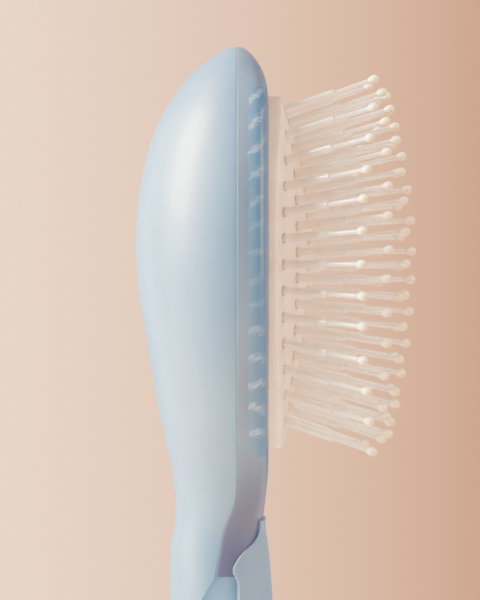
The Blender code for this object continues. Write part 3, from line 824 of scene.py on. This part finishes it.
# %% Pin places
PIN_PITCH, COLUMN_SPACING, PIN_CENTRE = 5.53, 6.2, 177.5
BOW_LENGTH, BOW_POWER = 37.2, 2.6
FAN_PER_MM = 0.57         # degrees
COLUMNS = [  # pins in each strip, lean outwards in degrees, length
    ((4, 4, 4), 0.0, 22.6),
    ((4, 3, 4), 16.0, 22.6),
    ((4, 4, 4), 28.0, 22.4),
    ((4, 5, 4), 38.0, 21.4),
]
STRIPS = ("low", "mid", "top")
PIN_STRAY = 0.9           # degrees, how far a moulded pin bends from its true direction


def strip_pins(column, side, strip):
    """The roots and directions of the pins in one strip, from the foot up."""
    counts, lean, _ = COLUMNS[column]
    first, middle = sum(counts[:strip]), (sum(counts) - 1) / 2
    found = []
    for k in range(counts[strip]):
        z = PIN_CENTRE + (first + k - middle) * PIN_PITCH
        bow = (1 - (abs(z - PAD_CENTRE) / BOW_LENGTH) ** BOW_POWER) ** (1 / BOW_POWER)
        y = side * column * COLUMN_SPACING * bow
        out, up = math.radians(lean) * bow**2, math.radians(FAN_PER_MM * (z - PIN_CENTRE))
        level = math.cos(up)
        way = Vector((math.cos(out) * level, side * math.sin(out) * level, math.sin(up)))
        found.append((Vector((dome_x(y, z), y, z)), way))
    return found


def all_strips():
    """(label, column, side, strip) of each moving strip."""
    for column in range(len(COLUMNS)):
        sides = ((1, f"left_{column}"), (-1, f"right_{column}")) if column else ((0, "centre"),)
        for side, label in sides:
            for strip, name in enumerate(STRIPS):
                yield f"{label}_{name}", column, side, strip


PINS = [pin for _, *place in all_strips() for pin in strip_pins(*place)]
print(len(PINS), "pins")


def turned(profile, sides):
    """A mesh: a profile of (distance, radius) spun about Z."""
    bm = bmesh.new()
    verts = [bm.verts.new(Vector((r, 0.0, d)) * MM) for d, r in profile]
    edges = [bm.edges.new(pair) for pair in zip(verts, verts[1:])]
    bmesh.ops.spin(bm, geom=verts + edges, cent=(0, 0, 0), axis=(0, 0, 1), dvec=(0, 0, 0),
                   angle=2 * math.pi, steps=sides, use_merge=True)
    bmesh.ops.remove_doubles(bm, verts=bm.verts, dist=FINE_MERGE * MM)
    bmesh.ops.recalc_face_normals(bm, faces=bm.faces)
    mesh = bpy.data.meshes.new("turned")
    bm.to_mesh(mesh)
    bm.free()
    return mesh


def stand(bm, mesh, root, way):
    """Adds the mesh to the bmesh with its foot on the root and its axis along the way."""
    known = len(bm.verts)
    bm.from_mesh(mesh)
    bm.verts.ensure_lookup_table()
    place = Matrix.Translation(root * MM) @ way.to_track_quat("Z", "Y").to_matrix().to_4x4()
    bmesh.ops.transform(bm, matrix=place, verts=bm.verts[known:])


# %% [markdown]
# ## Rubber
#
# The cushion is thin natural rubber, cream and slightly see-through, so light glows in it and its
# folds look warm and darker. Its skin is satin, with a fine texture from the mould.

# %% Cream rubber
RUBBER_IOR = 1.52


def cream_rubber():
    fixed = {"Roughness": 0.42, "IOR": RUBBER_IOR, "Subsurface Weight": 0.5,
             "Subsurface Radius": (1.0, 0.6, 0.4), "Subsurface Scale": 2.0 * MM}
    material, tree, shader, where = new_material("cream_latex_rubber", fixed)
    clouds = blotches(tree, where, 6.0, 3.0)
    shade = add(tree, "MapRange", {"Value": clouds, "From Min": 0.35, "From Max": 0.7})
    colours = {0: shade, 6: linear("#F2D3B4"), 7: linear("#E4BEA0")}
    tree.links.new(add(tree, "Mix", colours, 2, data_type="RGBA"), shader.inputs["Base Color"])
    add_bump(tree, shader, (blotches(tree, where, 3.5), 0.1), (blotches(tree, where, 0.35), 0.01))
    return material


# %% [markdown]
# ## Cushion
#
# The cushion is one closed skin: a dome, a side wall that dips into the frame, and a flange that is
# clamped inside. The grid runs once round the pad and, the other way, down the outside and back up
# the inside. Each pin has a hole with a small flare, where the rubber is drawn in round it, and the
# hole widens inwards so that the pin can lean without meeting the rubber. When the brush is pressed
# the dome moves and the flange stays.

# %% Cushion
RUBBER = 1.3
FLANGE_X, FLANGE_THICK, FLANGE_REACH = 5.7, 1.2, 1.5
FLANGE_TOP = FLANGE_X + FLANGE_THICK
PAD_COLUMNS = 128
DOME_SHARES = [0.0, *[0.06 * k for k in range(1, 16)], 0.94, 0.97, 0.985]
INNER_DOME = 0.95         # the inside of the dome is drawn in by this share
SHOULDER = 1.0            # radius where the dome turns down into the side wall
SHOULDER_STEPS = 4
FOLD_OUT, FOLD_IN = 9.4, 9.0   # a row half way down the side wall, outside and inside
HOLE_RADIUS, FLARE = 1.09, 0.14
HOLE_FOOT_RADIUS = 1.5
DRILL_FOOT, DRILL_TOP = -4.2, 2.4   # the drill's ends, along a pin from the rubber's surface
DRILL_SIDES = 16


def cushion_rows():
    """Each row as (share of the outline, reach, x or None on the dome, drop below the dome)."""
    rows = [(share, 0.0, None, 0.0) for share in DOME_SHARES]
    for k in range(1, SHOULDER_STEPS + 1):
        a = math.pi / 2 * k / SHOULDER_STEPS
        inwards = SHOULDER * 0.25 * (1 - math.sin(a))
        rows.append((1.0, -inwards, None, SHOULDER * (1 - math.cos(a))))
    outside = [(0.0, FOLD_OUT), (0.0, FLANGE_TOP + 0.4), (0.15, FLANGE_TOP)]
    flange = [(FLANGE_REACH, FLANGE_TOP), (FLANGE_REACH, FLANGE_X), (-RUBBER, FLANGE_X)]
    rows += [(1.0, reach, x, 0.0) for reach, x in (*outside, *flange, (-RUBBER, FOLD_IN))]
    rows.append((1.0, -RUBBER, None, 2.0))
    rows += [(share * INNER_DOME, 0.0, None, RUBBER) for share in reversed(DOME_SHARES[:-2])]
    return rows


def make_cushion():
    rows = cushion_rows()

    def point(column, row):
        share, reach, x, drop = rows[row]
        y, z = pad_point(2 * math.pi * column / PAD_COLUMNS, reach, share)
        return Vector((dome_x(y, z) - drop if x is None else x, y, z))

    bm = bmesh.new()
    lay_grid(bm, PAD_COLUMNS, len(rows) - 1, point)
    bmesh.ops.recalc_face_normals(bm, faces=bm.faces)
    cushion = object_of(bm, "rubber_cushion")

    hole = [(DRILL_FOOT, 0.0), (DRILL_FOOT, HOLE_FOOT_RADIUS), (-RUBBER, HOLE_FOOT_RADIUS),
            (-0.3, HOLE_RADIUS), (0.1, HOLE_RADIUS + FLARE),
            (DRILL_TOP, HOLE_RADIUS + 2.0 * FLARE), (DRILL_TOP, 0.0)]
    bit, drill = turned(hole, DRILL_SIDES), bmesh.new()
    for root, way in PINS:
        stand(drill, bit, root, way)
    cut(cushion, object_of(drill, "drill"), 0.0)

    cushion.data.materials.append(cream_rubber())
    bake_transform(cushion)
    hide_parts("cushion_membrane")
    print("cushion", len(cushion.data.polygons), "faces, closed:", closed(cushion))


make_cushion()

# %% [markdown]
# ## Nylon
#
# A pin is moulded from natural nylon, which is clear where it is thin and milky where it is thick.
# The ball on its end is thick enough to look ivory. The side of the ball that faces forwards and
# down, its shaded side, is painted amber, a painted shade warmed by light that has come through it.

# %% Nylon and ivory
NYLON_IOR = 1.53


def clear_nylon():
    fixed = {"Roughness": 0.12, "IOR": NYLON_IOR, "Transmission Weight": 0.55,
             "Coat Weight": 0.5, "Coat Roughness": 0.06}
    material, tree, shader, where = new_material("natural_nylon", fixed)
    haze = blotches(tree, where, 2.2)
    shade = add(tree, "MapRange", {"Value": haze, "From Min": 0.3, "From Max": 0.7})
    colours = {0: shade, 6: linear("#FFF7E8"), 7: linear("#F6E6D0")}
    tree.links.new(add(tree, "Mix", colours, 2, data_type="RGBA"), shader.inputs["Base Color"])
    add_bump(tree, shader, (blotches(tree, where, 0.6), 0.01))
    return material


def ivory_nylon():
    fixed = {"Roughness": 0.22, "IOR": NYLON_IOR, "Subsurface Weight": 0.2,
             "Subsurface Radius": (0.8, 0.7, 0.45), "Subsurface Scale": 0.6 * MM,
             "Coat Weight": 0.3, "Coat Roughness": 0.05}
    material, tree, shader, where = new_material("ivory_ball_nylon", fixed)
    # Painted shade: amber on the side of the ball that faces forwards and down, with noise in where
    # it starts.
    normal = add(tree, "TexCoord", out="Normal")
    away = [add(tree, "SeparateXYZ", {0: normal}, name) for name in "XZ"]
    away = add(tree, "Math", dict(enumerate(away)), operation="SUBTRACT")
    wobble = add(tree, "MapRange", {"Value": blotches(tree, where, 1.5), "To Min": -0.4,
                                    "To Max": 0.4})
    away = add(tree, "Math", {0: away, 1: wobble}, operation="ADD")
    shade = add(tree, "MapRange", {"Value": away, "From Min": -0.5, "From Max": 0.8})
    colours = {0: shade, 6: linear("#FFF0CC"), 7: linear("#DBA654")}
    tree.links.new(add(tree, "Mix", colours, 2, data_type="RGBA"), shader.inputs["Base Color"])
    return material


NYLON, IVORY = clear_nylon(), ivory_nylon()

# %% [markdown]
# ## Pins
#
# Each pin is a turned shape: a nail head under the rubber, a thick lower part with a square step,
# a thin upper part, and a drop-shaped ball. Spinning its profile makes it in one go. Real pins
# never come out quite straight, so each one strays by up to a degree or so, and the random draws
# start from a fixed seed, so it strays the same way on each run.

# %% Pins
PIN_RADIUS, PIN_TOP_RADIUS, BALL_RADIUS, BALL_LENGTH = 0.95, 0.5, 0.98, 2.3
STEP_SHARE = 0.53
HEAD_DEPTH, HEAD_THICK, HEAD_RADIUS = 2.9, 0.7, 1.15
PIN_SIDES = 14
STRAY_SEED = 11
BALL_PROFILE = [(0.0, 0.57), (0.14, 0.76), (0.3, 0.93), (0.48, 1.0), (0.66, 0.95), (0.82, 0.74),
                (0.94, 0.42), (1.0, 0.0)]   # shares of the ball's length and radius


def pin_profile(length):
    """Two lists of (distance, radius), of the shaft from its nail head up and of the ball."""
    step, ball = STEP_SHARE * length, length - BALL_LENGTH
    neck = HEAD_THICK - HEAD_DEPTH
    profile = [(-HEAD_DEPTH, 0.0), (-HEAD_DEPTH, HEAD_RADIUS), (neck, HEAD_RADIUS),
               (neck + 0.1, PIN_RADIUS), (step - 0.1, PIN_RADIUS - 0.04), (step, PIN_RADIUS - 0.14),
               (step, PIN_TOP_RADIUS + 0.06), (step + 0.15, PIN_TOP_RADIUS),
               (ball - 0.4, PIN_TOP_RADIUS)]
    return profile, [(ball + share * BALL_LENGTH, r * BALL_RADIUS) for share, r in BALL_PROFILE]


def make_pins():
    stray = random.Random(STRAY_SEED)
    for label, column, side, strip in all_strips():
        shaft, drop = pin_profile(COLUMNS[column][2])
        pin, bm = turned(shaft + drop, PIN_SIDES), bmesh.new()
        for face in pin.polygons:
            face.material_index = int(face.center.z > drop[0][0] * MM)
        for root, way in strip_pins(column, side, strip):
            bend = [math.radians(stray.uniform(-PIN_STRAY, PIN_STRAY)) for _ in range(3)]
            bend = Vector(bend)
            way = (way + bend - way * bend.dot(way)).normalized()
            stand(bm, pin, root, way)
        pins = object_of(bm, f"pins_{label}_moulding")
        pins.data.materials.append(NYLON)
        pins.data.materials.append(IVORY)
        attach(pins, f"pins_{label}")
        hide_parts(f"pin_strip_{label}")
    print("last strip of pins:", len(pins.data.polygons), "faces, closed:", closed(pins))


make_pins()

# %% [markdown]
# ## Inside
#
# The ring that clamps the rubber, the plate behind it and the bar in the handle are plain mouldings
# that stay hidden. Their own solids are right as they are, and only need the unpolished plastic.

# %% Inner pieces
def unpolished_abs():
    fixed = {"Roughness": 0.55, "IOR": ABS_IOR}
    material, tree, shader, where = new_material("unpolished_abs", fixed)
    clouds = blotches(tree, where, 5.0, 3.0, FLOW)
    colours = {0: clouds, 6: linear("#8FA3AC"), 7: linear("#6F8791")}
    tree.links.new(add(tree, "Mix", colours, 2, data_type="RGBA"), shader.inputs["Base Color"])
    add_bump(tree, shader, (blotches(tree, where, 0.5), 0.02))
    return material


def dress_inner_pieces():
    plain = unpolished_abs()
    for node in ("handle_core", "backing_plate", "cushion_retaining_ring"):
        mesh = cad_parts[node].data
        mesh.materials.clear()
        mesh.materials.append(plain)


dress_inner_pieces()

# %% [markdown]
# ## Light and floor
#
# A product photographer would light this brush with a softbox high on its back side, which draws
# the long white highlight down the hump, a weak strip of light on the far side to trace the back
# edge, and a large fill in front of the pins. The room is white on the side of the softbox and
# peach on the other, which warms the cushion. What the camera sees behind the brush is a separate
# backdrop with a soft shadow painted on it behind the pins, darker and more orange, so that they
# stand out. The floor is a pale disc, small enough to stay out of the picture.

# %% World, lights and floor
ROOM_LEFT, ROOM_RIGHT, ROOM_STRENGTH = "#FFFFFF", "#FFDDC2", 0.75
BACKDROP_LEFT, BACKDROP_RIGHT = "#FFC898", "#FFAF7C"
BACKDROP_BRIGHT, BACKDROP_IN_PAINTED_SHADOW = 3.4, 1.0
BACKDROP_FADE = 0.09      # sine of the angle to either side over which the painted shadow darkens the backdrop
BACKDROP_END = (0.2, 0.5) # the painted shadow fades out between these, and the backdrop is bright again from the second on
FLOOR_RADIUS, FLOOR_DROP = 700.0, 0.05
HEAD = Vector((0.0, 0.0, 185.0))
LIGHTS = [  # name, direction from the head, distance, width, height, watts, colour
    ("key_softbox", (-0.86, -0.11, 0.48), 800.0, 420.0, 620.0, 74.0, "#FFEFD9"),
    ("edge_strip", (-0.72, 0.68, 0.1), 800.0, 240.0, 700.0, 3.0, "#FFFFFF"),
    ("front_fill", (0.95, -0.33, 0.33), 900.0, 700.0, 700.0, 14.5, "#FFF2E4"),
]


def add_light(name, direction, distance, width, height, watts, colour):
    data = bpy.data.lights.new(name, "AREA")
    data.shape = "RECTANGLE"
    data.size, data.size_y = width * MM, height * MM
    data.energy = watts
    data.color = linear(colour)[:3]
    light = bpy.data.objects.new(name, data)
    away = Vector(direction).normalized()
    light.location = (HEAD + away * distance) * MM
    light.rotation_euler = away.to_track_quat("Z", "Y").to_euler()
    bpy.context.scene.collection.objects.link(light)


def add_world():
    world = bpy.data.worlds.new("plain_room")
    world.use_nodes = True
    tree = world.node_tree
    x = add(tree, "SeparateXYZ", {0: add(tree, "TexCoord", out="Generated")}, "X")
    across = add(tree, "MapRange", {"Value": x, "From Min": -1.0, "From Max": 1.0})
    room = {0: across, 6: linear(ROOM_LEFT), 7: linear(ROOM_RIGHT)}
    room = add(tree, "Mix", room, 2, data_type="RGBA")
    room = add(tree, "Background", {"Color": room, "Strength": ROOM_STRENGTH})
    # Painted shadow: behind the pins the backdrop dims and turns more orange.
    shade = [add(tree, "MapRange", {"Value": x, "From Min": start, "From Max": end})
             for start, end in ((-BACKDROP_FADE, BACKDROP_FADE), BACKDROP_END[::-1])]
    shade = add(tree, "Math", dict(enumerate(shade)), operation="MINIMUM")
    tint = {0: shade, 6: linear(BACKDROP_LEFT), 7: linear(BACKDROP_RIGHT)}
    tint = add(tree, "Mix", tint, 2, data_type="RGBA")
    brightness = add(tree, "MapRange", {"Value": shade, "To Min": BACKDROP_BRIGHT,
                                        "To Max": BACKDROP_IN_PAINTED_SHADOW})
    backdrop = add(tree, "Background", {"Color": tint, "Strength": brightness})
    seen = [add(tree, "LightPath", out=f"Is {kind} Ray") for kind in ("Camera", "Transmission")]
    seen = add(tree, "Math", dict(enumerate(seen)), operation="MAXIMUM")
    both = add(tree, "MixShader", {0: seen, 1: room, 2: backdrop})
    tree.links.new(both, tree.nodes["World Output"].inputs["Surface"])
    bpy.context.scene.world = world


def add_floor():
    bm = bmesh.new()
    bmesh.ops.create_circle(bm, cap_ends=True, segments=128, radius=FLOOR_RADIUS * MM)
    bmesh.ops.translate(bm, vec=(0, 0, CAD_BOX[0].z - FLOOR_DROP * MM), verts=bm.verts)
    floor = object_of(bm, "floor")
    material, tree, shader, where = new_material("plain_painted_floor", {"Roughness": 0.7})
    shade = {0: blotches(tree, where, 60.0), 6: linear("#E9DBCE"), 7: linear("#E0D0C2")}
    tree.links.new(add(tree, "Mix", shade, 2, data_type="RGBA"), shader.inputs["Base Color"])
    floor.data.materials.append(material)


add_world()
for light in LIGHTS:
    add_light(*light)
add_floor()
